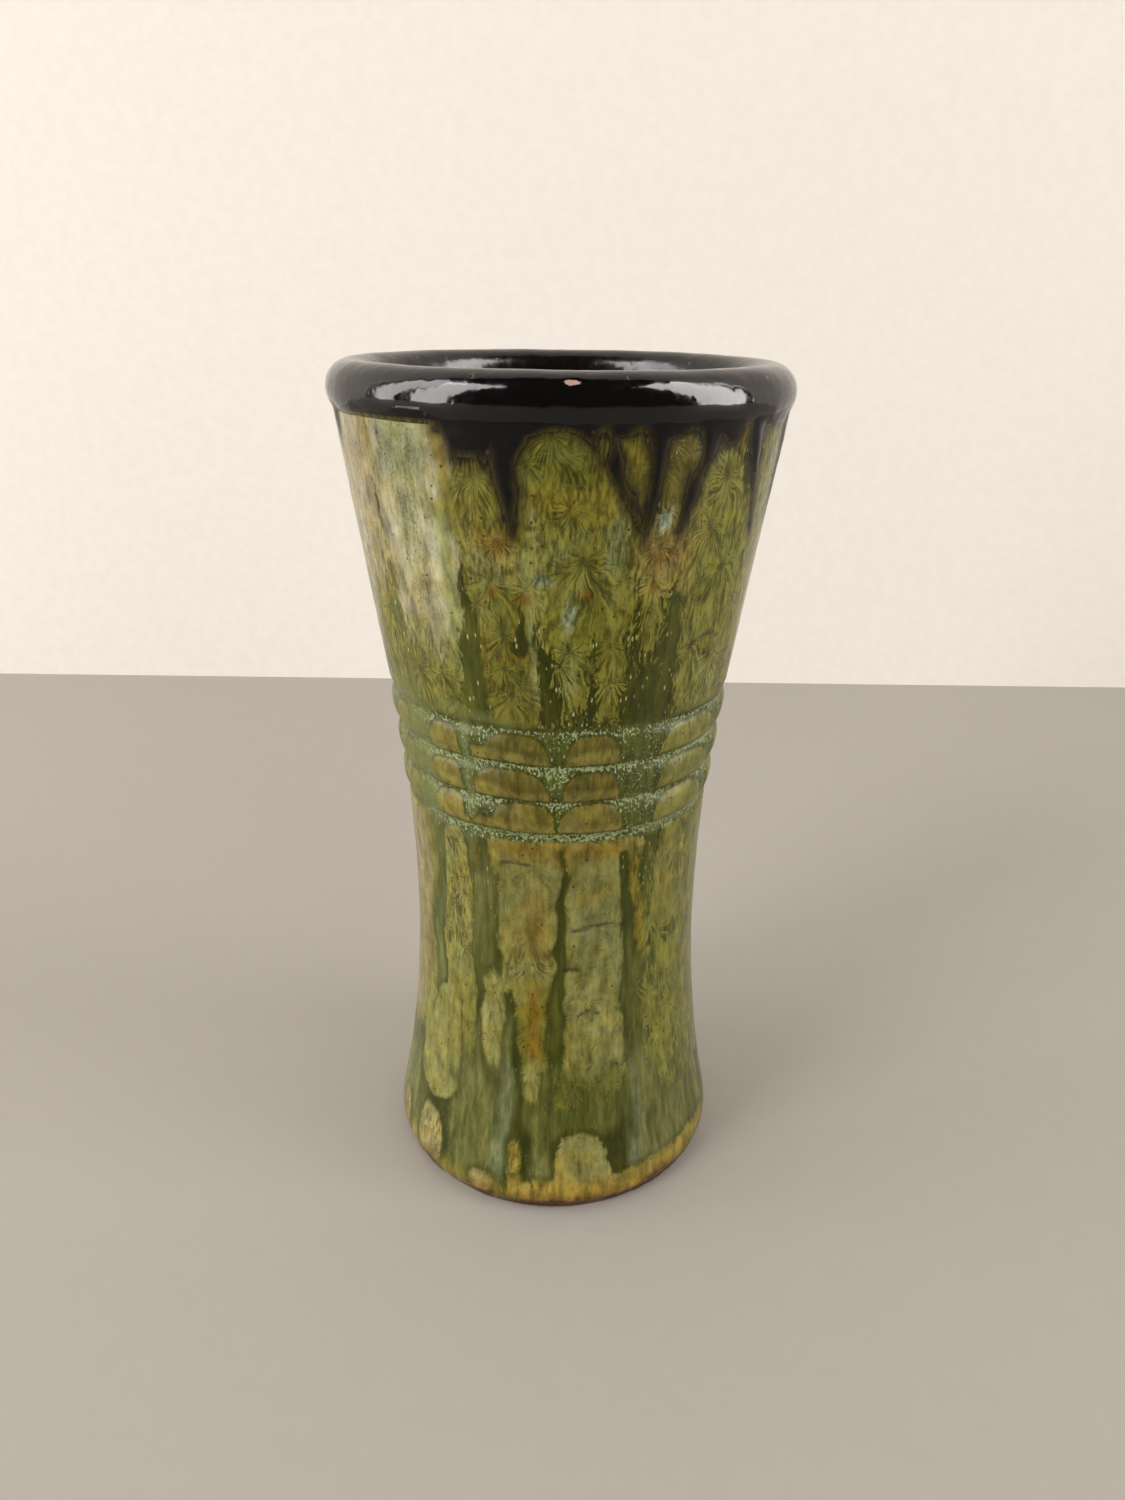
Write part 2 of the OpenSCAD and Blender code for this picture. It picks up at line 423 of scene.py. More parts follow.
def paint_lower_lobes(lobes):
    """The lobes below the ribs on the front, and the channels cut between them."""
    add, cut = lobes.add, lobes.cut
    add(blob(-92, -57.5, 40, 122, 4), 0.6)
    add(dome(-47.5, -31, 60, 114, LOOSE), 0.9)
    add(dome(-30.5, 38, 104, 116, LOOSE), 1.5)
    add(blob(-21.3, 0.6, 78, 120, 4), 0.5)
    add(blob(-20, 0.4, 65, 82, 2.6), 0.8)
    add(run(-9.5, 72, 9, -7, 45, 5.5), 1.2)
    add(blob(3.6, 24, 88, 122, 4), 0.5)
    add(blob(3.8, 27, 57, 96, 4), 0.5)
    add(run(28, 104, 5, 34, 80, 4), 2)
    patchy = 4.0 * fbm(P * (1, 1, 0.6), 6, 97) + 1.6
    add(np.minimum(blob(36, 92, 28, 122, 3), patchy), 3.5)
    add(run(-46, 57.5, 10, -50.5, 34, 18), 0.3)
    add(blob(-38.2, -31.5, 46, 69, 2.2), 0.6)
    add(blob(-28.6, -18.8, 42, 73.5, 2.1), 0.2)
    add(blob(2.6, 14, 42, 62, 3), 0.8)
    add(blob(13.6, 28, 42, 62, 3), 0.8)
    add(blob(-11.5, -5, 34, 47), 2)
    add(blob(1.5, 9, 33, 43), 4)
    add(blob(9, 27, 36, 46), 5)
    add(run(10.5, 17, 15, 10, 6, 19), 1.2)
    add(blob(-57, -44, 2, 21, 2.3), 0.3)
    add(blob(-30, -20.5, 1, 10, 3), 0.5)
    add(blob(-15.5, -10.5, 1, 22), 0.6)
    add(blob(-15, 75, -6, 11, 5), 1.5)
    cut(run(-26, 113, 2, -25.6, 78, 7.5), 0.6)
    cut(run(2.2, 112, 1.2, 2.4, 76, 2.4), 0.3)
    cut(run(2, 80, 2.6, -1.5, 52, 5.2), 0.6)
    cut(run(24, 109, 3, 28.5, 84, 4.2), 1)
    cut(run(28.5, 86, 4.2, 33, 48, 7), 1)
    cut(run(34, 110, 2.6, 33.5, 102, 3.2), 1.5)
    cut(run(-17, 69, 1, -15.5, 45, 5), 0.6)


def paint_front_pale(pale):
    """Colours of the lobes above the ribs on the front, from left to right."""
    patch, streak = pale.patch, pale.streak
    patch(-96, -46, 172, 226, PINK, 0.95, 5)
    patch(-96, -66, 180, 224, TAN_EDGE, 0.6, 6)
    patch(-62, -52, 168, 186, PALE_OLIVE, 0.5, 6)
    streak(-52, 214, 3.4, -50, 203, 2, MUSTARD, 0.55, 3)
    streak(-56, 206, 1, -49, 188, 2, MUSTARD, 0.4, 3)
    patch(-49.5, -24, 160, 226, CREAM, 1.0, 2.5, 4)
    patch(-48.5, -45.5, 172, 202, PINK, 0.7, 2.5)
    patch(-46, -42.5, 176, 206, IVORY, 0.75, 2.5)
    patch(-35.5, -30.5, 172, 200, IVORY, 0.85, 2.5)
    patch(-42, -35.5, 180, 208, SPECKLED, 0.8, 2, 4)
    patch(-47, -31.5, 201, 214, BLUE_GREEN, 0.8, 4)
    streak(-27.5, 213, 3, -27, 196, 2.2, MUSTARD, 0.85, 2)
    streak(-27.6, 197, 1.4, -27, 166, 1.2, MUSTARD, 0.45, 1.4)
    streak(-29, 196, 3, -28, 156, 5, PALE_GREEN, 0.95, 2.4)
    patch(-48, -28, 142, 170, PALE_OLIVE * 0.86, 0.85, 8, 3)
    patch(-40, -33, 162, 176, CREAM, 0.5, 5)
    streak(-46.6, 210, 0.7, -45.8, 209.6, 0.7, DARK_RUST, 0.9, 0.8)
    patch(-27, -13, 187, 207, OLIVE, 0.95, 1)
    patch(-24.5, -6, 180, 193, TAN, 0.85, 3)
    patch(-20, -9, 187, 193, RUST, 0.35, 2.5)
    patch(-22, -12, 181, 189, SLATE, 0.5, 2)
    patch(-10, -6, 181, 191, SLATE, 0.6, 2)
    patch(-24, -19, 190, 200, TAN, 0.5, 3)
    patch(-24, -6, 164, 181, OLIVE, 0.75, 4)
    patch(-23, -17, 168, 184, PALE_OLIVE, 0.5, 3)
    streak(-20.5, 168, 2, -20, 158, 2, RUST, 0.35, 2)
    streak(-16, 162.4, 1.5, -6.5, 165, 2, RUST, 0.4, 1.6)
    patch(-22, 0, 142, 161, OLIVE, 0.85, 3)
    patch(-18, -3, 147, 158, BROWN, 0.4, 3)
    pale.wash(run(*LOBE_3, TIGHT), OLIVE, 0.95, 1)
    streak(-9, 206, 1, -10.5, 192, 1.6, BROWN, 0.5, 2)
    streak(6, 211, 1, 17, 194, 1.6, MUSTARD, 0.55, 2)
    patch(-7, 8, 202, 212, DEEP_BLUE, 0.7, 5)
    patch(-9, 14, 195, 201.5, MUSTARD, 0.5, 3)
    patch(-9, 8, 176, 194, PALE_OLIVE, 0.45, 5)
    streak(-5.5, 196, 1.6, -3, 160, 2, PALE_STREAK, 0.35, 1.8)
    streak(-7.6, 188, 1.4, -5, 152, 3.6, PALE_GREEN, 0.8, 1.8)
    patch(10, 18.5, 170, 198, PALE_OLIVE, 0.45, 4)
    patch(11, 15.5, 184, 195, SLATE, 0.7, 2)
    streak(7.6, 199, 1, 9.4, 178, 1.8, BROWN, 0.6, 1.6)
    streak(-4.6, 182.4, 1.6, -0.6, 181.6, 1.4, BLUE, 0.8, 1.2)
    streak(-3.6, 186.6, 1.2, 2.4, 187.4, 1, SLATE, 0.7, 1.4)
    patch(-6, 20, 163, 178, FRESH, 0.6, 4)
    patch(2.2, 4.6, 170, 177, SKY, 0.5, 1.5)
    patch(9, 18, 164, 176, OLIVE, 0.4, 4)
    streak(10, 209, 1, 17.5, 188, 1.6, SLATE, 0.6, 2)
    streak(-8.4, 205, 1, -9.4, 194, 1, SLATE, 0.45, 2)
    patch(0, 19, 146, 165, OLIVE, 0.7, 3)
    patch(1, 6, 152, 166, PALE_GREEN, 0.35, 3)
    patch(12, 17, 152, 160, PALE_OLIVE, 0.5, 2)
    patch(18, 38, 176, 197, TAN, 0.95, 3)
    patch(20, 33, 182, 193, TAN_EDGE, 0.35, 4)
    patch(20, 33, 182, 193, RUST, 0.3, 5)
    streak(25.8, 198, 2.4, 25.2, 193, 3.4, SKY, 0.9, 1.2)
    patch(33, 55, 144, 210, PALE_OLIVE, 0.35, 3)
    patch(33, 40, 180, 204, TAN, 0.35, 4)
    patch(42, 58, 150, 196, FRESH, 0.4, 6)
    patch(42, 60, 146, 164, GREY, 0.5, 6)
    patch(58, 92, 150, 214, GREY, 0.5, 6)
    for island in ISLANDS:
        pale.wash(island_shape(*island), BROWN, 0.7, 2)
    patch(23, 29.5, 197, 206, BROWN, 0.8, 2)
    for azimuth, height in ((7, 179), (25, 186), (25, 180), (-16, 179.5), (-8, 178.5), (-14, 189.5)):
        patch(azimuth - 1.6, azimuth + 1.6, height - 1.6, height + 1.2, RUST * 0.8, 0.7, 1.6)


def paint_lower_pale(pale):
    """Colours of the lobes below the ribs on the front, with painted shade over the far right."""
    patch, streak = pale.patch, pale.streak
    patch(-96, -57, 40, 150, PINK, 0.55, 5)
    patch(-96, -57, 40, 110, TAN_EDGE, 0.4, 5)
    patch(-80, -60, 60, 92, MUSTARD, 0.3, 8)
    streak(-60, 104, 1, -59, 62, 1.6, RUST, 0.3, 3)
    patch(-48, -31, 66, 114, GREY, 0.8, 3, 4)
    patch(-39, -32, 82, 108, TAN, 0.7, 3)
    patch(-47, -41, 66, 112, PALE_OLIVE, 0.7, 3, 4)
    patch(-30, 36, 106, 117, TAN, 0.9, 3, 5)
    patch(-22, 24, 108, 116, RUST, 0.35, 3, 5)
    patch(-22, 2, 76, 109, GREY, 0.9, 2, 4)
    patch(-19, -4, 96, 104, TAN, 0.4, 5)
    patch(-20, 1, 76, 98, TAN, 0.5, 5)
    streak(-8, 97, 5, -6, 78, 6, RUST, 0.35, 4)
    patch(-18, 0, 77.5, 82.5, BROWN, 0.5, 2)
    patch(-20, 0, 64, 79, GREY, 0.7, 2)
    patch(-16, -1, 60, 72, MUSTARD, 0.4, 5)
    streak(-8, 70, 5, -7, 44, 4.5, MUSTARD, 0.45, 3)
    streak(-8, 68, 2, -7.4, 48, 2, RUST, 0.5, 2)
    patch(3, 28, 57, 109, GREY, 0.9, 2, 4)
    patch(8, 18, 96, 101, MUSTARD, 0.35, 3)
    patch(7, 24, 82, 97, SLATE, 0.35, 5)
    patch(4, 20, 76, 84, FRESH, 0.3, 4)
    patch(14, 20, 67, 72, SLATE, 0.5, 3)
    patch(16, 20, 73.5, 78, DEEP_BLUE, 0.8, 1.6)
    streak(28, 106, 6, 35, 76, 4, MUSTARD, 0.5, 3)
    patch(36, 92, 30, 116, PALE_OLIVE, 0.8, 4, 4)
    patch(40, 54, 40, 84, FRESH, 0.5, 8)
    patch(42, 54, 88, 112, TAN, 0.4, 6)
    patch(56, 92, 20, 116, OLIVE, 0.6, 6, 4)
    # Painted shade: the far right is washed darker with slate, as if less light falls on that side
    patch(62, 92, 20, 116, SLATE, 0.4, 4, 4)
    patch(-64, -38, 22, 66, PALE_LOBE, 0.9, 2)
    patch(-64, -38, 22, 66, PALE_OLIVE, 0.45, 4)
    patch(-39.5, -30, 46, 70, PALE_OLIVE, 0.8, 2)
    patch(-30, -18, 42, 74, PALE_LOBE, 1.0, 2)
    patch(2, 29, 42, 62, PALE_LOBE, 0.6, 3, 4)
    patch(13, 29, 42, 62, PALE_LOBE, 0.6, 3, 4)
    patch(6, 26, 62, 82, PALE_LOBE, 0.4, 5, 4)
    patch(3, 9, 44, 60, TAN, 0.5, 3)
    patch(-12, -4, 35, 47, PALE_LOBE, 0.8, 2)
    patch(0, 28, 32, 46, FERN, 0.6, 4)
    patch(-1, 22, 6, 30, PALE_LOBE, 1.0, 3, 4)
    patch(3, 16, 10, 22, TAN, 0.4, 5)
    patch(-0.5, 3, 6, 26, FOOT_YELLOW, 0.5, 2)


def paint_foot(pale):
    """Thin yellow and cream glaze at the foot, rusty where it meets the bare clay."""
    patch, streak = pale.patch, pale.streak
    patch(-180, 180, -8, 9, FOOT_YELLOW, 0.7, 5, 6)
    patch(-58, -42, 0, 20, FOOT_CREAM, 0.9, 4)
    patch(-31, -20, 0, 10.5, FOOT_CREAM, 0.9, 3)
    streak(-13, 21, 2, -13, 8, 3, FOOT_YELLOW, 0.9, 1.5)
    patch(-16, 26, 2, 10.5, FOOT_YELLOW, 0.9, 3, 4)
    patch(20, 60, 4, 15, FOOT_YELLOW, 0.6, 5, 4)
    grime = Z + 1.6 * fbm(P, 5, 71) + 1.3 * fbm(P, 1.8, 72)
    pale.wash(6.8 - grime, RUST, 0.5, 3.4)
    pale.wash(4.4 - grime, DARK_RUST, 0.85, 2.0)


def paint_deep(deep):
    """Colours of the darker glaze between the lobes on the front."""
    patch, streak = deep.patch, deep.streak
    patch(-94, -45, 142, 186, LEAF, 0.85, 8, 4)
    patch(-60, -46, 142, 170, FLOW, 0.4, 6, 3)
    patch(-32, -20, 140, 174, DEEP_BLUE, 0.9, 4, 4)
    patch(22, 38, 140, 176, DEEP_BLUE, 0.35, 6, 4)
    patch(12, 36, 196, 212, BROWN, 0.7, 3, 4)
    patch(-59, -48, 55, 152, LEAF, 0.95, 2.5, 5)
    patch(-49, -30, 56, 116, FLOW, 0.5, 4, 4)
    patch(-32, -20, 68, 112, FLOW, 0.75, 3, 4)
    patch(-19, 5, 50, 84, DEEP_BLUE, 0.6, 4, 4)
    patch(24, 38, 44, 112, DEEP_BLUE, 0.8, 4, 4)
    patch(26, 36, 44, 84, FLOW, 0.35, 4, 4)
    patch(-94, -54, -4, 56, FLOW, 0.8, 5, 5)
    patch(-80, -60, -4, 40, LEAF, 0.4, 8, 5)
    patch(-41, -17, 4, 56, FLOW, 0.95, 4, 4)
    streak(-17, 60, 2, -17, 8, 5, LEAF, 0.55, 2)
    streak(-22, 34, 1, -20, 10, 3, LEAF, 0.7, 1.6)
    streak(-5, 36, 1, -4, 10, 6, FLOW, 0.9, 3)
    patch(-14, 29, 24, 46, FERN, 0.8, 5, 4)
    patch(28, 42, 8, 48, FLOW, 0.85, 4, 4)
    patch(36, 94, 4, 50, FLOW, 0.7, 6, 4)
    patch(36, 94, 44, 112, FERN, 0.8, 6, 4)
    streak(31, 46, 1, 31, 14, 5, BLUE, 0.3, 3)
    streak(-19.5, 48, 2, -18.5, 12, 4.5, BLUE, 0.3, 2.5)
    patch(-180, 180, -8, 8, FOOT_YELLOW, 0.6, 5, 6)


def paint_sides(lobes, pale, deep):
    """The same kinds of lobe and run round the sides and back, which the photograph doesn't show."""
    add, cut = lobes.add, lobes.cut
    rng = np.random.default_rng(9)
    edges = [azimuth for azimuth, _, _ in SIDE_RUNS] + [308]

    def pick(*colours):
        return colours[rng.integers(len(colours))]

    for start, end in zip(edges, edges[1:]):
        middle = rng.uniform(start + 6, end - 6)
        low = rng.uniform(154, 184)
        add(blob(start - 1, end + 1, low, 226, 3), rng.uniform(0.5, 3))
        main = pick(CREAM, PINK) if 145 < start < 190 else pick(OLIVE, BROWN, PALE_OLIVE)
        pale.patch(start - 1, end + 1, 148, 226, main, 0.85, 4, 3)
        pale.patch(start, end, low + 8, low + 24, pick(TAN, RUST, SLATE, GREY), 0.5, 6)
        pale.streak(middle - 3, 212, 2, middle, 176, 3, pick(PALE_OLIVE, MUSTARD, PALE_STREAK), 0.5, 3)
        add(blob(start + 1, middle + 2, 140, low + 8, 2.6), 5)
        add(blob(middle + 3, end + 2, 140, low + 2, 2.6), 4)
        pale.patch(start, end, 142, 160, pick(OLIVE, BROWN, PALE_OLIVE), 0.7, 4)
        if rng.random() < 0.65:
            cut(run(start, 200, 1, start + rng.uniform(-5, 5), 144, rng.uniform(3, 10)), 1.6)

        low = rng.uniform(50, 84)
        add(blob(start - 1, end + 1, low, 122, 4), 0.6)
        pale.patch(start, end, low, 120, pick(GREY, TAN, PALE_OLIVE), 0.85, 5)
        pale.patch(start, end, 104, 117, RUST, 0.35, 5)
        pale.streak(middle, 98, 4, middle + 2, low, 6, pick(RUST, MUSTARD, SLATE), 0.45, 4)
        if rng.random() < 0.6:
            cut(run(end, 113, 1.4, end + rng.uniform(-6, 6), 46, rng.uniform(3, 8)), 0.6)
        tip = rng.uniform(24, 38)
        add(blob(middle - 5, middle + rng.uniform(3, 7), tip, low + 4, 2.2), 0.4)
        pale.patch(middle - 6, middle + 8, tip, low + 2, pick(PALE_LOBE, PALE_OLIVE, FRESH), 0.9, 3)
        deep.patch(start - 6, start + 9, 6, 50, pick(FLOW, LEAF, FERN), 0.8, 5, 3)
        deep.patch(start - 5, start + 5, 60, 180, DEEP_BLUE, rng.uniform(0.2, 0.9), 5, 4)
        if rng.random() < 0.5:
            add(run(middle + 4, rng.uniform(9, 22), 8, middle + 3, 3, rng.uniform(10, 18)), 1)
        pale.patch(middle - 5, middle + 12, 4, 24, pick(FOOT_CREAM, PALE_LOBE), 0.8, 4)


def black_field():
    """Depth inside the black glaze that has run down from the rim."""
    inside = 2.5 * (Z - CREASE_Z + 0.3 * fbm(P, 6, 85))
    shore = 1.6 * (Z - 211.4 + 1.2 * fbm(P, 7, 81) + 0.5 * fbm(P, 2.2, 83))
    inside = np.maximum(inside, np.minimum(shore, blob(-28, 72, 190, 240, 8)))
    for a, z, w, a_end, z_end, w_end in FRONT_RUNS:
        inside = np.maximum(inside, run(a, z, w, a_end, z_end, w_end, TIGHT))
    for a, w, drop in SIDE_RUNS:
        inside = np.maximum(inside, run(a, HEIGHT - 8, w * 1.4, a, HEIGHT - drop + 1, w * 0.35))
    patch = blob(-27.5, -14, 186, 206.8, 2.8, TIGHT)
    for shape in (run(*LOBE_3, TIGHT), run(*LOBE_4, TIGHT), patch):
        inside = np.minimum(inside, 0.2 - shape)
    for a, z, half_w, half_z in ISLANDS:
        x = turn(TIGHT.azimuth, a) * DEG * R / half_w
        y = (TIGHT.height - z) / half_z
        inside = np.minimum(inside, (np.hypot(x, y) - 1) * half_w)
    return inside


def brick_field():
    """Depth inside the brown bricks of glaze on the ribs."""
    inside = np.full(A.shape, -9.0)
    sides = [(a + 3, b - 2) for a, b in zip(SIDE_GAPS, SIDE_GAPS[1:])]
    for row, bricks in enumerate(FRONT_BRICKS):
        low = LINE_Z[row + 1] + 0.3
        for a0, a1 in bricks + sides:
            inside = np.maximum(inside, dome(a0, a1, low, low + 7.9))
    inside = np.maximum(inside, dome(-31, -20, LINE_Z[1] + 0.4, LINE_Z[1] + 4.4))
    inside = np.maximum(inside, dome(-34, -18, LINE_Z[3] + 0.3, LINE_Z[3] + 3.6))
    drop = run(-30, 147, 2.6, -30, 119.6, 3.0, TIGHT)
    return np.minimum(inside, -drop)


def frost_field(bricks):
    """How pale and grainy the turquoise glaze is where it has gathered in the grooves, 0 to 1."""
    low_edge = 113.4 + 0.8 * fbm(P, 6, 91) - 3 * np.exp(-(turn(A, -30) / 3) ** 2)
    band = np.minimum(LINE_Z[0] - 0.6 - TIGHT.height, TIGHT.height - low_edge)
    frost = smooth(-0.3, 0.9, band)
    below = np.min([np.where(TIGHT.height < z, z - TIGHT.height, 9) for z in LINE_Z], axis=0)
    strength = 0.4 + 0.6 * smooth(4.0, 0.5, below)
    pour = smooth(-0.8, 1.2, run(-30, 147, 2.6, -30, 119.6, 3, TIGHT))
    strength = np.maximum(strength, pour)
    strength = strength * (1 - 0.35 * smooth(-1, 1, run(0, 147, 4, 0, 138, 3)))
    strength = strength * (1 - 0.12 * smooth(-1, 1, blob(24, 33, 112, 147, 4)))
    strength = strength * (1 - 0.5 * smooth(-50, -62, turn(A, 0)) * smooth(-90, -70, turn(A, 0)))
    return frost * strength * smooth(0.4, -0.6, bricks)


def pour_field():
    """How smooth and milky the turquoise glaze is on the left of the ribs, 0 to 1."""
    pour = smooth(-1, 1.5, run(-30, 147, 3.4, -30, 119.6, 3.2, TIGHT))
    pour = np.maximum(pour, 0.8 * smooth(-1, 1, run(-40, 149, 2, -14, 145.6, 2.6)))
    pour = np.maximum(pour, 0.9 * smooth(-3, 3, blob(-62, -45, 112, 150, 4)))
    return np.maximum(pour, 0.6 * smooth(-1, 1, run(-44, 112, 1.6, -30, 112.5, 2)))


def crease_field(bricks):
    """Distance from the nearest thin dark line."""
    faint = 0.35 + 0.5 * fbm(P, 9, 95)
    nearest = np.min([np.abs(TIGHT.height - z) for z in LINE_Z], axis=0) + np.maximum(faint, 0)
    for a0, a1, top in ((-32.5, -28, 140), (-2, 2, 140), (22, 34, 146), (-75, -46, 150)):
        nearest = nearest + 3 * smooth(-1, 0.5, blob(a0, a1, 118, top, 4, TIGHT))
    middle = np.min([np.abs(TIGHT.height - z) for z in RIB_Z], axis=0)
    nearest = np.minimum(nearest, middle + 0.25 + 2 * smooth(1.2, 0.3, bricks))
    for a0, a1, z, bend in (
        (7, 26, 88, -1.0), (9, 17, 61.5, -1.4), (-20, -9, 107, -1.0), (-43, -38, 109, -0.6),
        (24.5, 28.5, 44.5, 0.5), (3, 9, 76, -0.6), (-8, -3.5, 193.4, 0.4), (40, 53, 164, -1.5),
    ):
        nearest = np.minimum(nearest, level_line(a0, a1, z, bend) * 0.6 - 0.1)
    return np.minimum(nearest, 5.0)


def levels(base, *patches):
    """A value for each point: base, and a level of its own over each patch."""
    value = Paint(base)
    for shape, level in patches:
        value.wash(shape, level, 1.0, 3)
    return value.colour[..., 0]


def fibre_field():
    """How strongly the crystals' needles show, 0 to 1."""
    return levels(
        1.0,
        (blob(62, 296, 16, 118, 8), 0.35),
        (blob(66, 294, 146, 212, 8), 0.55),
        (blob(-96, -47, 180, 226), 0.2),
        (blob(-50, -25, 166, 226, 4), 0.25),
        (run(-28.4, 196, 3, -27.8, 156, 5), 0.0),
        (run(-7.6, 186, 1.6, -5, 152, 4), 0.0),
        (blob(-96, -48, 55, 120, 4), 0.15),
        (blob(-22, 2, 78, 118, 4), 0.3),
        (blob(3, 28, 66, 118, 4), 0.25),
        (blob(-60, 40, 20, 74, 6), 0.3),
        (blob(-64, -38, 18, 66), 0.1),
        (blob(36, 92, 20, 118, 4), 0.3),
        (blob(-41, -17, 4, 50), 0.25),
        (blob(-180, 180, 112, 146, 9), 0.35),
        (blob(-180, 180, -6, 12, 6), 0.2),
        (blob(-12, 30, 3, 33), 0.15),
    )


def speck_field():
    """How thickly the glaze is sown with fine dark specks, 0 to 1."""
    return levels(
        0.12,
        (blob(-48, -31, 200, 214), 0.8),
        (blob(-42.5, -35.5, 176, 206, 4), 1.0),
        (blob(-62, -53, 184, 202), 0.6),
        (blob(-24, -6, 178, 193), 0.7),
        (run(-4.6, 182.4, 2, -0.6, 181.6, 2), 1.0),
        (run(-3.6, 186.6, 2, 2.4, 187.4, 2), 1.0),
        (blob(20, 30, 178, 198), 0.6),
        (blob(-180, 180, 112, 146, 9), 0.3),
    )


def star_layers():
    """Three fields of offsets to star crystals, as fractions of each star's reach, and its number."""
    rng = np.random.default_rng(5)
    stars = list(STARS)
    for _ in range(SCATTERED_STARS):
        place = rng.uniform(-180, 180), rng.uniform(6, 212)
        stars.append((*place, rng.uniform(4, 7), rng.uniform(5, 10)))
    layers = [[], [], []]
    for a, z, wide, tall in stars:
        for layer in layers:
            apart = [
                math.hypot(turn(a, b) * 0.78 / (wide + w), (z - y) / (tall + t)) for b, y, w, t in layer
            ]
            if min(apart, default=9) > 1:
                layer.append((a, z, wide, tall))
                break
    fields = []
    for layer in layers:
        best = np.full(A.shape, 9.0)
        field = np.zeros(A.shape + (3,))
        field[..., 0] = 9.0
        for number, (a, z, wide, tall) in enumerate(layer):
            x = turn(LOOSE.azimuth, a) * DEG * R / wide
            y = (LOOSE.height - z) / tall
            away = np.hypot(x, y)
            closer = away < best
            best = np.where(closer, away, best)
            here = np.stack([x, y, np.full(A.shape, number * 3.7)], -1)
            field = np.where(closer[..., None], here, field)
        fields.append(field)
    return fields


# ---------------------------------------------------------------- meshes

# The kind of a mesh layer and its values' name, by how many numbers each vertex has
LAYER_KINDS = {1: ("FLOAT", "value"), 3: ("FLOAT_VECTOR", "vector"), 4: ("FLOAT_COLOR", "color")}


def add_piece(name, points, faces, layers):
    """A smooth mesh piece from points in millimetres, with named layers of values for the vertices."""
    mesh = bpy.data.meshes.new(name)
    mesh.from_pydata((points * MM).tolist(), [], faces)
    for layer, values in layers.items():
        values = np.ascontiguousarray(values, np.float32).reshape(len(points), -1)
        kind, key = LAYER_KINDS[values.shape[1]]
        mesh.attributes.new(layer, kind, "POINT").data.foreach_set(key, values.ravel())
    mesh.polygons.foreach_set("use_smooth", [True] * len(mesh.polygons))
    mesh.update()
    piece = bpy.data.objects.new(name, mesh)
    bpy.context.scene.collection.objects.link(piece)
    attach(piece, "root")
    return piece


def ring_faces(rings, columns, closed):
    """Quads between neighbouring rings of a turned surface; closed joins the last ring to the first."""
    corner = np.arange((rings if closed else rings - 1) * columns)
    row, column = corner // columns, corner % columns
    beside = row * columns + (column + 1) % columns
    above = (row + 1) % rings * columns
    return np.stack([corner, beside, above + (column + 1) % columns, above + column], 1).tolist()


class Coat:
    """The painted outer glaze: every layer that the coat and the black runs share."""

    def __init__(self):
        self.black = black_field()
        self.bricks = brick_field()
        self.lobes = Lobes()
        pale = Paint(OLIVE)
        deep = Paint(DEEP)
        paint_sides(self.lobes, pale, deep)
        paint_upper_lobes(self.lobes)
        paint_lower_lobes(self.lobes)
        paint_front_pale(pale)
        paint_lower_pale(pale)
        paint_foot(pale)
        paint_deep(deep)
        self.paint_ribs(pale, deep)
        self.layers = {
            "pale": pale.layer(),
            "deep": deep.layer(),
            "lobe": self.lobes.inside,
            "feather": self.lobes.feather,
            "black": self.black,
            "brick": self.bricks,
            "frost": frost_field(self.bricks),
            "crease": crease_field(self.bricks),
            "fibre": fibre_field(),
            "speck": speck_field(),
            "pour": pour_field(),
        }
        for number, field in enumerate(star_layers()):
            self.layers[f"star_{number}"] = field
        self.radius = under_roll(Z, R + self.thickness(), 0.5)

    def paint_ribs(self, pale, deep):
        """Brown bricks standing in green glaze on the ribs."""
        ribs = np.minimum(LINE_Z[0] - TIGHT.height, TIGHT.height - 114.0)
        self.lobes.cut(ribs, 1.0)
        self.lobes.inside = np.maximum(self.lobes.inside, self.bricks)
        pale.wash(ribs, BROWN, 1.0, 1)
        for z in RIB_Z:
            pale.wash(2.4 - np.abs(LOOSE.height - z + 2.9), TAN, 0.8, 2.4)
            pale.wash(1.0 - np.abs(LOOSE.height - z - 0.4), UMBER, 0.25, 2.4)
        pale.wash(np.minimum(ribs, 124.5 - TIGHT.height), TAN, 0.35, 2)
        pale.wash(np.minimum(ribs, turn(A, 34)), PALE_OLIVE, 0.8, 3)
        pale.wash(np.minimum(ribs, -turn(A, -30)), TAN, 0.7, 3)
        deep.wash(ribs, MOSS, 0.9, 1)
        deep.wash(np.minimum(ribs, blob(-75, -45, 100, 160, 6)), LEAF, 0.9, 4)

    def thickness(self):
        """How far the flowed glaze stands off its even surface."""
        thick = 0.10 * fbm(P, 10, 31) + 0.05 * fbm(P, 3.2, 32)
        thick = thick + 0.10 * smooth(-1.2, 1.4, self.lobes.inside)
        thick = thick + 0.10 * smooth(-0.6, 1.2, self.bricks)
        return thick + 0.12 * smooth(-0.6, 3.0, self.black)


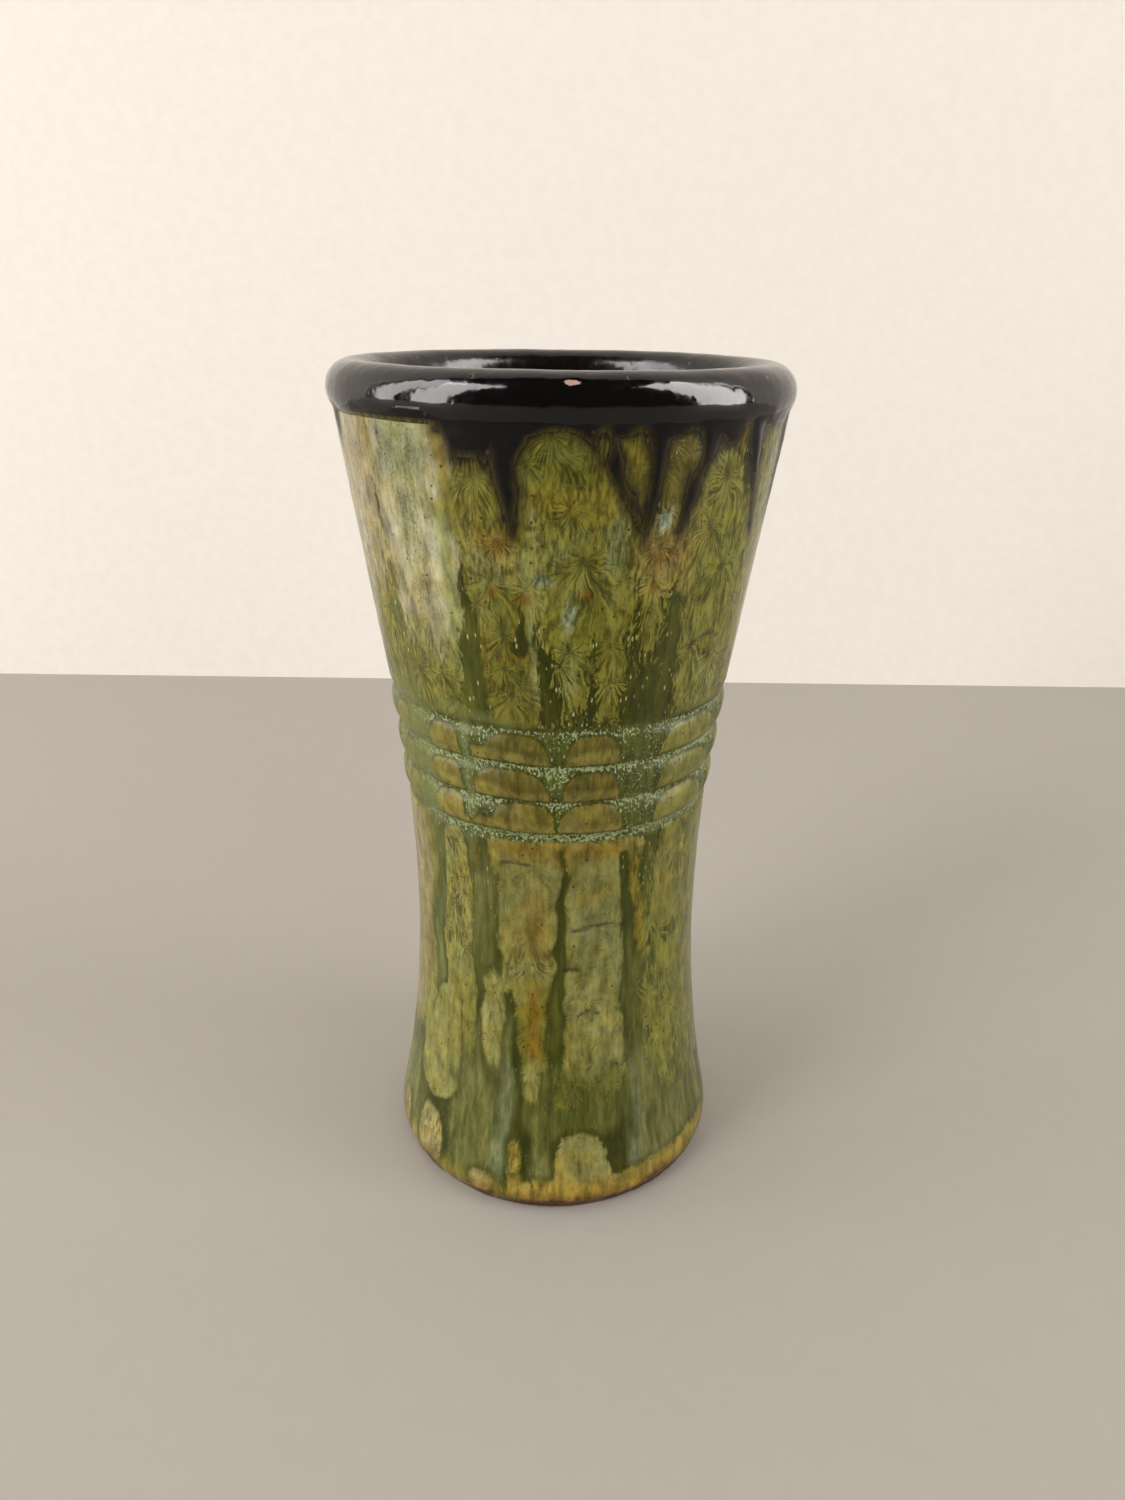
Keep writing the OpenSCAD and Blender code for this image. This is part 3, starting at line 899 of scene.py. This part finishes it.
def make_coat(coat):
    """The green coat with its wavy lower lip, closed by a plain hidden side against the clay."""
    wave = 0.9 * fbm(around(A, 0 * Z, 40.0), 9, 33) + 0.4 * fbm(around(A, 0 * Z, 40.0), 3, 34)
    low = smooth(LIP_Z + 5, LIP_Z - 1.2, Z)
    height = Z + low * wave
    radius = coat.radius + wall_radius(height) - R
    first = np.arange(len(ROWS))[:, None] == 0
    radius = np.where(first, np.interp(height, CLAY_Z, CLAY_R), radius)
    points = around(A, height, radius).reshape(-1, 3)
    back_z = ROWS[::-12]
    back_r = np.interp(back_z, CLAY_Z, CLAY_R) - HIDDEN_DEPTH
    hidden = np.concatenate([around(AZIMUTH, z, r) for z, r in zip(back_z, back_r)])
    layers = {}
    for name, values in coat.layers.items():
        seen = values.reshape(len(points), -1)
        layers[name] = np.concatenate([seen, np.zeros((len(hidden), seen.shape[1]))])
    faces = ring_faces(len(ROWS) + len(back_z), COLUMNS, True)
    return add_piece("green_glaze_coat", np.concatenate([points, hidden]), faces, layers)


def make_black_runs(coat):
    """The black collar and runs: a raised closed sheet wherever the black glaze lies."""
    lift = RUN_THICK * smooth(-0.3, 2.6, coat.black) - 0.05
    top = around(A, Z, under_roll(Z, R + coat.thickness() + lift, 0.2)).reshape(-1, 3)
    under = around(A, Z, coat.radius - 0.3).reshape(-1, 3)
    near = (coat.black > -0.35) & (Z > LOWEST_RUN_Z)
    beside = np.roll(near, -1, 1)
    cells = near[:-1] | near[1:] | beside[:-1] | beside[1:]
    row, column = np.nonzero(cells)
    over = (column + 1) % COLUMNS
    a, b = row * COLUMNS + column, row * COLUMNS + over
    c, d = b + COLUMNS, a + COLUMNS
    deeper = len(top)
    faces = [np.stack([a, b, c, d], 1), np.stack([d, c, b, a], 1) + deeper]
    padded = np.pad(cells, ((1, 1), (0, 0)))
    for bare, start, end in (
        (~padded[:-2], a, b),
        (~padded[2:], c, d),
        (~np.roll(cells, -1, 1), b, c),
        (~np.roll(cells, 1, 1), d, a),
    ):
        edge = bare[row, column]
        s, e = start[edge], end[edge]
        faces.append(np.stack([s, s + deeper, e + deeper, e], 1))
    faces = np.concatenate(faces)
    used, faces = np.unique(faces, return_inverse=True)
    faces = faces.reshape(-1, 4)
    points = np.concatenate([top, under])[used]
    depth = np.concatenate([coat.black.ravel(), coat.black.ravel()])[used]
    return add_piece("black_runs", points, faces.tolist(), {"black": depth})


# A painted reflection on the rim, a small pinkish spot over a shallow dent: its azimuth, how far up the
# roll it is, and its half sizes
REFLECTION_AZIMUTH = 2.6
REFLECTION_LEAN = 44
REFLECTION_HALF_WIDE = 2.0
REFLECTION_HALF_TALL = 0.8


def make_rim():
    """The black coat over the rolled rim, slightly uneven like thick glaze, with a shallow dent under a
    painted reflection.
    """
    columns, seen, hidden = 360, 84, 20
    azimuth = -180 + 360 * np.arange(columns) / columns
    start, end = -38, 262
    section = np.concatenate([np.linspace(start, end, seen), np.linspace(end, start, hidden)])
    shown = np.arange(len(section))[:, None] < seen
    turns, lean = np.meshgrid(azimuth, section)
    at = around(turns, ROLL_Z + ROLL_R * np.sin(lean * DEG), ROLL_AT + ROLL_R * np.cos(lean * DEG))
    wave = 0.12 * fbm(at, 16, 41) + 0.05 * fbm(at, 5, 42)
    # Where the painted reflection, a small pinkish spot, lies on the front of the roll
    x = (turns - REFLECTION_AZIMUTH + 0.5 * fbm(at, 1.2, 43)) * DEG * NECK_R / REFLECTION_HALF_WIDE
    y = (lean - REFLECTION_LEAN + 3 * fbm(at, 1.0, 44)) * DEG * ROLL_R / REFLECTION_HALF_TALL
    painted_reflection = 1 - np.hypot(x, y)
    wave = wave - 0.25 * smooth(0.0, 0.6, painted_reflection)
    tube = np.where(shown, ROLL_R - 0.12 + np.minimum(wave, 0.1), ROLL_R - 0.65)
    points = around(turns, ROLL_Z + tube * np.sin(lean * DEG), ROLL_AT + tube * np.cos(lean * DEG))
    faces = ring_faces(len(section), columns, True)
    layers = {"painted_reflection": painted_reflection, "inner": smooth(70, 115, lean)}
    return add_piece("black_rim_coat", points.reshape(-1, 3), faces, layers)


def make_liner():
    """The black coat inside: throwing rings up the wall, and the floor."""
    columns = 240
    azimuth = 180 - 360 * np.arange(columns) / columns
    heights, radii = profile("liner_glaze", np.min)
    floor_z = np.sort(heights[radii < 30])[0] + 0.5
    wall_z = np.linspace(floor_z + 0.3, CREASE_Z - 1.4, 120)
    wall_r = np.interp(wall_z, heights[radii > 20], radii[radii > 20])
    floor_r = wall_r[0] * np.array([0.02, 0.25, 0.5, 0.75, 0.95])
    z = np.concatenate([np.full(5, floor_z), wall_z])
    r = np.concatenate([floor_r, wall_r])
    turns, height = np.meshgrid(azimuth, z)
    at = around(turns, height, np.repeat(r[:, None], columns, 1))
    rings = 0.16 * np.sin(height / 1.7 + turns * DEG) + 0.1 * fbm(at, 8, 51)
    shown = around(turns, height, np.repeat(r[:, None], columns, 1) - rings * smooth(20, 40, height))
    back = [around(azimuth, h, s + 0.35) for h, s in zip(z[:4:-6], r[:4:-6])]
    back += [around(azimuth, z[0] - 0.4, s) for s in floor_r[::-1]]
    points = np.concatenate([shown.reshape(-1, 3), np.concatenate(back)])
    faces = ring_faces(len(z) + len(back), columns, False)
    faces.append(list(range(columns))[::-1])
    faces.append(list(range(len(points) - columns, len(points))))
    return add_piece("black_liner_coat", points, faces, {})


# ---------------------------------------------------------------- materials

class Graph:
    """A material's node tree, with short ways to add nodes to it."""

    def __init__(self, name):
        self.material = bpy.data.materials.new(name)
        self.material.use_nodes = True
        self.tree = self.material.node_tree
        self.tree.nodes.clear()
        self.shader = self.add("ShaderNodeBsdfPrincipled")
        output = self.add("ShaderNodeOutputMaterial")
        self.tree.links.new(self.shader.outputs[0], output.inputs["Surface"])

    def add(self, kind, **settings):
        """A new node with its settings."""
        node = self.tree.nodes.new(kind)
        for key, value in settings.items():
            setattr(node, key, value)
        return node

    def feed(self, socket, value):
        """Links a node's output to a socket, or sets the socket to a plain value."""
        if isinstance(value, bpy.types.NodeSocket):
            self.tree.links.new(value, socket)
        else:
            socket.default_value = value

    def set(self, name, value):
        """Sets or links one of the shader's inputs."""
        self.feed(self.shader.inputs[name], value)

    def math(self, operation, *values):
        node = self.add("ShaderNodeMath", operation=operation)
        for socket, value in zip(node.inputs, values):
            self.feed(socket, value)
        return node.outputs[0]

    def times(self, first, second):
        """Two values multiplied."""
        return self.math("MULTIPLY", first, second)

    def scaled(self, value, factor, plus=0.0):
        """A value times factor, plus a constant."""
        return self.math("MULTIPLY_ADD", value, factor, plus)

    def swing(self, value, factor):
        """A 0 to 1 value as a swing around 0, times factor."""
        return self.scaled(value, factor, -factor / 2)

    def total(self, *values):
        """The sum of several values."""
        result = values[0]
        for value in values[1:]:
            result = self.math("ADD", result, value)
        return result

    def vector(self, operation, first, second):
        node = self.add("ShaderNodeVectorMath", operation=operation)
        self.feed(node.inputs[0], first)
        self.feed(node.inputs["Scale" if operation == "SCALE" else 1], second)
        return node.outputs["Vector"]

    def length(self, value):
        node = self.add("ShaderNodeVectorMath", operation="LENGTH")
        self.feed(node.inputs[0], value)
        return node.outputs["Value"]

    def attribute(self, name, output="Fac"):
        return self.add("ShaderNodeAttribute", attribute_name=name).outputs[output]

    def position(self):
        """The place on the piece, in millimetres."""
        return self.vector("SCALE", self.add("ShaderNodeTexCoord").outputs["Object"], 1 / MM)

    def noise(self, place, size, detail=2.0, rough=0.5, stretch=None):
        """Noise from 0 to 1 with lumps of that size; stretch squeezes the place along each axis."""
        if stretch:
            place = self.vector("MULTIPLY", place, stretch)
        node = self.add("ShaderNodeTexNoise")
        self.feed(node.inputs["Vector"], place)
        node.inputs["Scale"].default_value = 1 / size
        node.inputs["Detail"].default_value = detail
        node.inputs["Roughness"].default_value = rough
        return node.outputs["Fac"]

    def dots(self, place, spacing, radius, share, stretch=(1, 1, 1)):
        """Scattered spots: 1 in each spot and 0 outside; share of the cells have one."""
        node = self.add("ShaderNodeTexVoronoi")
        self.feed(node.inputs["Vector"], self.vector("MULTIPLY", place, stretch))
        node.inputs["Scale"].default_value = 1 / spacing
        spot = self.band(node.outputs["Distance"], radius * 1.25, radius * 0.75)
        split = self.add("ShaderNodeSeparateColor")
        self.feed(split.inputs[0], node.outputs["Color"])
        chosen = self.band(split.outputs[0], 1 - share - 0.02, 1 - share + 0.02)
        return self.times(spot, chosen)

    def band(self, value, low, high, to_low=0.0, to_high=1.0):
        """A smooth step of value between low and high."""
        node = self.add("ShaderNodeMapRange", interpolation_type="SMOOTHSTEP")
        self.feed(node.inputs["Value"], value)
        ends = {"From Min": low, "From Max": high, "To Min": to_low, "To Max": to_high}
        for key, item in ends.items():
            node.inputs[key].default_value = item
        return node.outputs["Result"]

    def mix(self, factor, first, second):
        """A colour between first, at 0, and second, at 1."""
        node = self.add("ShaderNodeMix", data_type="RGBA")
        self.feed(node.inputs["Factor"], factor)
        for socket, value in ((node.inputs[6], first), (node.inputs[7], second)):
            if not isinstance(value, bpy.types.NodeSocket):
                value = (*value, 1.0)
            self.feed(socket, value)
        return node.outputs[2]

    def bump(self, height, distance, below=None):
        """A bumpy normal; distance is how far a height of 1 stands out."""
        node = self.add("ShaderNodeBump")
        self.feed(node.inputs["Height"], height)
        node.inputs["Distance"].default_value = distance * MM
        if below is not None:
            self.feed(node.inputs["Normal"], below)
        return node.outputs["Normal"]


def crystal_needles(g, place):
    """Needles that fan out and down from the star crystals, with upright grain between them."""
    warp = g.add("ShaderNodeTexNoise")
    g.feed(warp.inputs["Vector"], place)
    warp.inputs["Scale"].default_value = 1 / 3.5
    bend = g.vector("SUBTRACT", warp.outputs["Color"], (0.5, 0.5, 0.5))
    bend = g.vector("MULTIPLY", bend, (0.28, 0.28, 0))
    grain = g.noise(place, 0.75, 2.5, 0.55, (1, 1, 0.22))
    result = g.swing(grain, 1.7)
    for number in range(3):
        star = g.attribute(f"star_{number}", "Vector")
        flat = g.vector("ADD", g.vector("MULTIPLY", star, (1, 1, 0)), bend)
        reach = g.length(flat)
        heart = g.vector("SUBTRACT", flat, (0.0, 0.45, 0.0))
        unit = g.add("ShaderNodeVectorMath", operation="NORMALIZE")
        g.feed(unit.inputs[0], heart)
        spokes = g.vector("SCALE", unit.outputs[0], 9.0)
        own = g.vector("MULTIPLY", star, (0, 0, 1))
        outward = g.add("ShaderNodeCombineXYZ")
        g.feed(outward.inputs["Z"], g.scaled(g.length(heart), 1.3))
        ray = g.noise(g.vector("ADD", g.vector("ADD", spokes, own), outward.outputs[0]), 1.0, 2.5, 0.55)
        weight = g.band(reach, 1.0, 0.45)
        dark_heart = g.band(g.length(heart), 0.22, 0.0, 0.0, -0.3)
        near = g.times(weight, g.total(g.swing(ray, 2.0), dark_heart))
        result = g.math("MULTIPLY_ADD", result, g.scaled(weight, -0.6, 1.0), near)
    return result


def tinted(g, colour, dark, light, tone):
    """A colour varied between darker and lighter copies of itself by tone, 0 to 1."""
    low = g.vector("MULTIPLY", colour, dark)
    high = g.vector("MULTIPLY", colour, light)
    return g.mix(tone, low, high)


def lobe_colour(g, place, needles, grain, mottle, streak, depth):
    """The pale crystalline lobes: needles, specks and drifts of warmer and cooler glaze."""
    fibre = g.attribute("fibre")
    smear = g.times(g.swing(streak, 1.1), g.scaled(fibre, -1.0, 1.0))
    tone = g.total(
        g.swing(mottle, 1.3),
        g.swing(grain, 0.45),
        g.times(needles, g.scaled(fibre, 1.5)),
        smear,
    )
    pale = g.attribute("pale", "Color")
    body = tinted(g, pale, (0.36, 0.37, 0.30), (1.64, 1.63, 1.7), g.band(tone, -0.62, 0.62))
    cloud = g.noise(place, 5.0, 3.0, 0.6)
    body = tinted(g, body, (0.95, 1.0, 1.2), (1.05, 1.0, 0.82), g.band(cloud, 0.32, 0.68))
    rim = g.times(g.band(depth, 1.6, 0.2), g.scaled(fibre, 0.35))
    body = g.mix(rim, body, MUSTARD * 0.8)
    specks = g.dots(place, 0.8, 0.26, 0.75, (1, 1, 0.7))
    body = g.mix(g.times(specks, g.scaled(g.attribute("speck"), 0.75)), body, SPECK)
    iron = g.dots(place, 2.6, 0.13, 0.4)
    return g.mix(g.times(iron, 0.8), body, DARK_RUST)


def channel_colour(g, place, needles, streak, depth):
    """The darker glaze that flowed between the lobes, with pale crystals carried down in it."""
    lines = g.total(g.swing(streak, 1.4), g.times(needles, 0.4))
    deep = g.attribute("deep", "Color")
    channel = tinted(g, deep, (0.55, 0.57, 0.5), (1.45, 1.43, 1.5), g.band(lines, -0.5, 0.5))
    broad = g.noise(place, 3.4, 2.0, 0.5, (1, 1, 0.11))
    channel = tinted(g, channel, (0.7, 0.76, 0.6), (1.28, 1.22, 1.35), g.band(broad, 0.35, 0.65))
    crispness = g.band(g.attribute("feather"), 0.3, 3.0, 0.55, 0.15)
    outline = g.times(g.band(depth, -2.4, -0.7), crispness)
    channel = g.mix(outline, channel, DEEP * 0.9)
    height = g.add("ShaderNodeSeparateXYZ")
    g.feed(height.inputs[0], place)
    flecks = g.dots(place, 1.0, 0.2, 0.5, (1, 1, 0.3))
    flecks = g.times(flecks, g.band(depth, -6.0, -1.0))
    flecks = g.times(flecks, g.band(height.outputs["Z"], 80.0, 130.0, 0.15, 1.0))
    return g.mix(g.times(flecks, 0.7), channel, DASH)


def turquoise_over(g, place, colour, frost, pour):
    """Pale turquoise granules in the grooves, and the milky pour on the left of the ribs."""
    milk = g.mix(g.noise(place, 2.0, 3.0), LEAF * 0.8, LEAF * 1.2)
    colour = g.mix(g.times(pour, 0.75), colour, milk)
    grit = g.noise(place, 0.62, 2.5, 0.65, (1, 1, 0.8))
    grit = g.total(grit, g.scaled(frost, 0.23), g.scaled(pour, -0.05))
    granules = g.times(g.band(grit, 0.66, 0.76), g.band(frost, 0.0, 0.3))
    colour = g.mix(g.times(granules, g.scaled(pour, -0.45, 0.9)), colour, TURQUOISE)
    return colour, granules


def green_glaze():
    """Crystalline green run glaze, driven by the coat's painted layers."""
    g = Graph("green_run_glaze")
    place = g.position()
    needles = crystal_needles(g, place)
    grain = g.noise(place, 0.55, 3.0, 0.6)
    mottle = g.noise(place, 3.4, 3.0, 0.55, (1, 1, 0.6))
    streak = g.noise(place, 1.4, 3.5, 0.6, (1, 1, 0.13))
    depth = g.total(
        g.attribute("lobe"),
        g.times(needles, g.scaled(g.attribute("feather"), 1.2)),
        g.swing(mottle, 1.0),
    )
    body = lobe_colour(g, place, needles, grain, mottle, streak, depth)
    channel = channel_colour(g, place, needles, streak, depth)
    colour = g.mix(g.band(depth, -0.6, 0.6), channel, body)

    frost = g.attribute("frost")
    pour = g.attribute("pour")
    colour, granules = turquoise_over(g, place, colour, frost, pour)

    brick = g.total(g.attribute("brick"), g.swing(grain, 0.9))
    outline = g.times(g.band(brick, -0.4, -0.05), g.band(brick, 0.35, 0.0))
    colour = g.mix(g.times(outline, 0.55), colour, DEEP * 0.5)
    line = g.band(g.total(g.attribute("crease"), g.swing(grain, 0.7)), 0.45, 0.1)
    colour = g.mix(g.times(line, 0.6), colour, UMBER)

    edge = g.total(g.attribute("black"), g.swing(streak, 1.8), g.swing(grain, 0.5))
    colour = g.mix(g.times(g.band(edge, -2.4, -0.4), 0.5), colour, UMBER)
    colour = g.mix(g.band(edge, -0.9, 0.7), colour, BLACK)

    g.set("Base Color", colour)
    g.set("Specular IOR Level", 0.17)
    matte = g.total(g.scaled(granules, 0.2), g.scaled(g.band(g.attribute("crease"), 5.0, 2.5), 0.14))
    g.set("Roughness", g.total(g.band(mottle, 0.2, 0.8, 0.16, 0.28), matte))
    relief = g.bump(g.noise(place, 3.2, 3.0), 0.22)
    relief = g.bump(g.total(g.scaled(needles, 0.5), granules, g.scaled(line, -1.0)), 0.06, relief)
    g.set("Normal", relief)
    return g.material


def black_glaze(name, rough_low, rough_high, gloss):
    """Glossy black glaze with pinholes in a softly uneven surface: its graph, colour and roughness."""
    g = Graph(name)
    g.set("Specular IOR Level", gloss)
    place = g.position()
    cloud = g.noise(place, 9.0, 3.0, 0.6)
    body = g.mix(cloud, BLACK * 0.6, BLACK * 1.5)
    pits = g.dots(place, 3.4, 0.13, 0.35)
    body = g.mix(g.times(pits, 0.6), body, glaze(70, 66, 60))
    rough = g.band(g.noise(place, 1.6, 3.0), 0.3, 0.75, rough_low, rough_high)
    relief = g.bump(g.noise(place, 6.0, 2.0), 0.22)
    relief = g.bump(g.scaled(pits, -1.0), 0.08, relief)
    g.set("Normal", relief)
    return g, body, rough


def liner_glaze():
    """The duller black glaze of the lining."""
    g, body, rough = black_glaze("black_liner_glaze", 0.18, 0.3, 0.06)
    g.set("Base Color", body)
    g.set("Roughness", rough)
    return g.material


def rim_glaze():
    """The rim's black glaze, with a small pinkish painted reflection on the front of the roll."""
    g, body, rough = black_glaze("black_rim_glaze", 0.07, 0.15, 0.34)
    # Painted reflection: a small pinkish spot, duller than the black glaze round it
    painted_reflection = g.band(g.total(g.attribute("painted_reflection"), g.swing(g.noise(g.position(), 0.6, 3.0), 0.8)), 0.1, 0.3)
    g.set("Base Color", g.mix(painted_reflection, body, glaze(176, 140, 122)))
    inner = g.scaled(g.attribute("inner"), 0.1)
    g.set("Roughness", g.total(rough, g.scaled(painted_reflection, 0.5), inner))
    return g.material


def run_glaze():
    """Black glaze that thins to olive brown at the edges of its runs."""
    g, body, rough = black_glaze("black_run_glaze", 0.12, 0.24, 0.17)
    place = g.position()
    streak = g.noise(place, 0.9, 4.0, 0.65, (1, 1, 0.12))
    depth = g.total(g.attribute("black"), g.swing(streak, 2.4))
    thin = g.band(depth, 1.8, -0.5)
    tail = g.mix(g.band(streak, 0.35, 0.65), UMBER, BROWN)
    g.set("Base Color", g.mix(g.times(thin, 0.9), body, tail))
    g.set("Roughness", rough)
    return g.material


def fired_clay():
    """Bare red-brown stoneware with grog and iron specks."""
    g = Graph("fired_clay")
    place = g.position()
    grain = g.noise(place, 0.8, 4.0, 0.7)
    cloud = g.noise(place, 12.0, 3.0)
    colour = g.mix(grain, glaze(84, 46, 26), glaze(140, 86, 54))
    colour = g.mix(g.band(cloud, 0.35, 0.7, 0.0, 0.5), colour, glaze(76, 38, 22))
    g.set("Base Color", colour)
    g.set("Roughness", g.band(grain, 0.3, 0.7, 0.6, 0.85))
    g.set("Normal", g.bump(grain, 0.12))
    return g.material


# ---------------------------------------------------------------- pieces

def dress(piece, material, node):
    """Gives a piece its material, and puts it in the place of a CAD node."""
    piece.data.materials.append(material)
    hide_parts(node)


painted = Coat()
dress(make_coat(painted), green_glaze(), "outer_glaze")
dress(make_black_runs(painted), run_glaze(), "rim_runs")
dress(make_rim(), rim_glaze(), "rim_glaze")
dress(make_liner(), liner_glaze(), "liner_glaze")

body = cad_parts["clay_body"]
body.data.materials.clear()
body.data.materials.append(fired_clay())


# ---------------------------------------------------------------- stage, light and camera

def plain(name, colour, rough, mottle):
    """A material for the stage, faintly mottled."""
    g = Graph(name)
    lumps = g.band(g.noise(g.position(), 7.0, 3.0), 0.35, 0.65)
    g.set("Base Color", g.mix(lumps, colour * (1 - mottle), colour))
    g.set("Roughness", rough)
    g.set("Specular IOR Level", 0.1)
    return g.material


def sheet(name, corners, material):
    """One flat stage panel."""
    mesh = bpy.data.meshes.new(name)
    mesh.from_pydata(corners, [], [(0, 1, 2, 3)])
    mesh.materials.append(material)
    piece = bpy.data.objects.new(name, mesh)
    bpy.context.scene.collection.objects.link(piece)


WALL_Y = 0.405
WALL_TOP = 3
WIDE = 4
FLOOR = [(-WIDE, -WIDE, 0), (WIDE, -WIDE, 0), (WIDE, WALL_Y, 0), (-WIDE, WALL_Y, 0)]
WALL = [(-WIDE, WALL_Y, 0), (WIDE, WALL_Y, 0), (WIDE, WALL_Y, WALL_TOP), (-WIDE, WALL_Y, WALL_TOP)]
sheet("studio_floor", FLOOR, plain("studio_floor", linear(172, 166, 158), 0.6, 0.01))
sheet("studio_wall", WALL, plain("studio_wall", linear(228, 222, 214), 0.9, 0.025))


WINDOW_AWAY = 2.2
WINDOW_RISE = 18
WINDOW_TALL = 0.93
PANE_RISE = 27
PANE_TALL = 1.37
WARM_WHITE = (1.0, 0.975, 0.95)


def soft_box(name, azimuth, elevation, wide, tall, radiance, shines):
    """A rectangular light that faces the vase, its size given as at one metre.

    It either lights the vase or, if it shines, shows only in the vase's gloss.
    """
    lamp = bpy.data.lights.new(name, "AREA")
    lamp.shape = "RECTANGLE"
    lamp.size = wide * WINDOW_AWAY
    lamp.size_y = tall * WINDOW_AWAY
    lamp.energy = radiance * lamp.size * lamp.size_y * math.pi
    lamp.color = WARM_WHITE
    holder = bpy.data.objects.new(name, lamp)
    a = azimuth * DEG
    e = elevation * DEG
    away = Vector((math.sin(a) * math.cos(e), -math.cos(a) * math.cos(e), math.sin(e)))
    middle = Vector((0, 0, HEIGHT * MM * 0.75))
    holder.location = middle + away * WINDOW_AWAY
    holder.rotation_mode = "QUATERNION"
    holder.rotation_quaternion = away.to_track_quat("Z", "Y")
    holder.visible_camera = False
    holder.visible_diffuse = not shines
    holder.visible_glossy = shines
    bpy.context.scene.collection.objects.link(holder)


# Windows that light the vase: azimuth, width and brightness
for name, azimuth, wide, glow in (
    ("left_window", -52, 0.40, 6.9),
    ("left_side", -86, 0.53, 3.4),
    ("right_window", 76, 0.44, 4.5),
    ("right_side", 42, 0.63, 1.6),
):
    soft_box(name, azimuth, WINDOW_RISE, wide, WINDOW_TALL, glow, False)

# Bright panes that the gloss reflects: azimuth, width and brightness
for name, azimuth, wide, shine in (
    ("left_pane", -62, 0.40, 12.5),
    ("left_far_pane", -87, 0.28, 9.0),
    ("right_pane", 79, 0.50, 14.0),
    ("right_far_pane", 108, 0.22, 7.0),
):
    soft_box(name, azimuth, PANE_RISE, wide, PANE_TALL, shine, True)

world = bpy.data.worlds.new("studio")
world.use_nodes = True
sky = world.node_tree.nodes["Background"]
sky.inputs["Color"].default_value = (*WARM_WHITE, 1)
sky.inputs["Strength"].default_value = 0.28
bpy.context.scene.world = world
world.cycles_visibility.glossy = False
bpy.context.scene.view_settings.view_transform = "Standard"

CAMERA_AT = (1.4, -269.0, 236.2)
PITCH = 23.1
ROLL = 0.72
LENS = 25.2
camera = bpy.data.cameras.new("camera")
camera.sensor_width = 36
camera.lens = LENS
camera.clip_start = 0.01
holder = bpy.data.objects.new("camera", camera)
tilt = Matrix.Rotation((90 - PITCH) * DEG, 4, "X") @ Matrix.Rotation(ROLL * DEG, 4, "Z")
holder.matrix_world = Matrix.Translation(Vector(CAMERA_AT) * MM) @ tilt
bpy.context.scene.collection.objects.link(holder)
bpy.context.scene.camera = holder


def corners(box):
    return [list(box[0]), list(box[1])]
